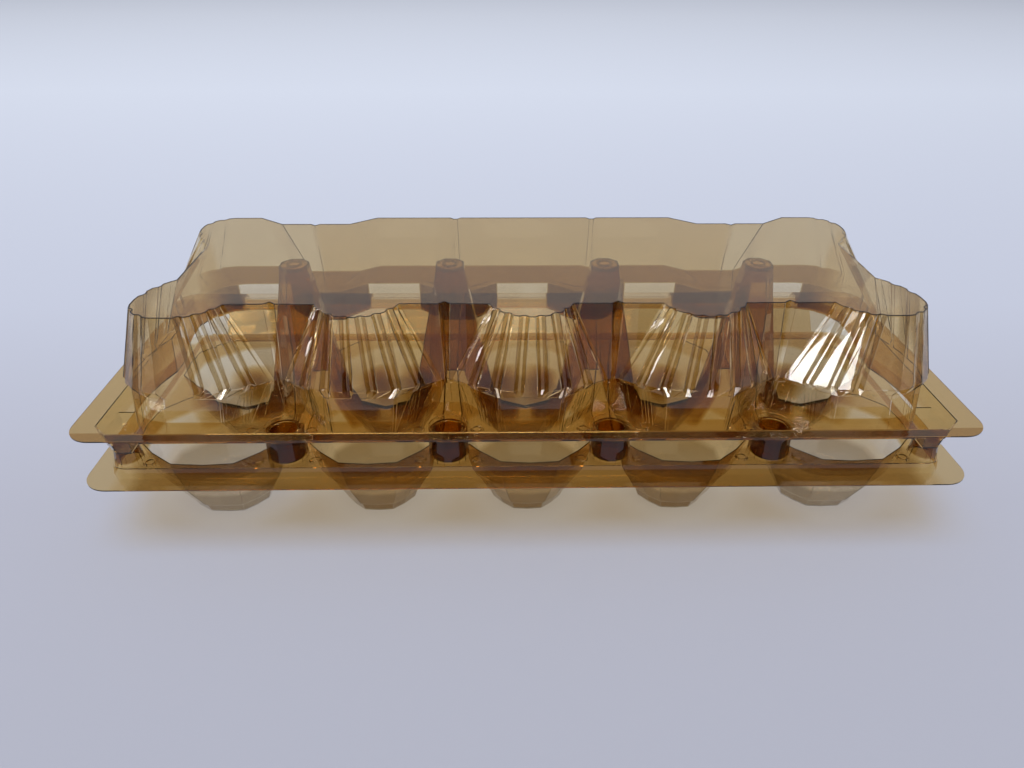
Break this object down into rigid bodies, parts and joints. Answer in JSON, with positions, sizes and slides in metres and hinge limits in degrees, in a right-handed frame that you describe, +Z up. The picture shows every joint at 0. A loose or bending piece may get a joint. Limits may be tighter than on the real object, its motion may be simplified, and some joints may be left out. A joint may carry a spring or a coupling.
{
  "type": "plastic egg carton",
  "caption": "Clear amber plastic egg carton: a tray of round cups with hollow pillars, and a pleated lid hinged along the back that snaps shut at the front.",
  "frame": {"origin": "centre of the closed carton's outline, on the surface it stands on", "axes": "+X along the carton to the right as seen from the front, +Y to the hinge at the back, +Z up"},
  "size_m": [0.2494, 0.1008, 0.0704],
  "materials": {
    "base_film": "clear amber gloss film",
    "lid_film": "clear amber gloss film"
  },
  "bodies": {
    "base": {"base_tray": "base_film"},
    "lid": {"lid": "lid_film"}
  },
  "joints": [
    {"name": "lid_hinge", "type": "hinge", "parent": "base", "child": "lid", "pos_m": [0, 0.04997, 0.0304], "axis": [-1, 0, 0], "range_deg": [0, 155]}
  ]
}
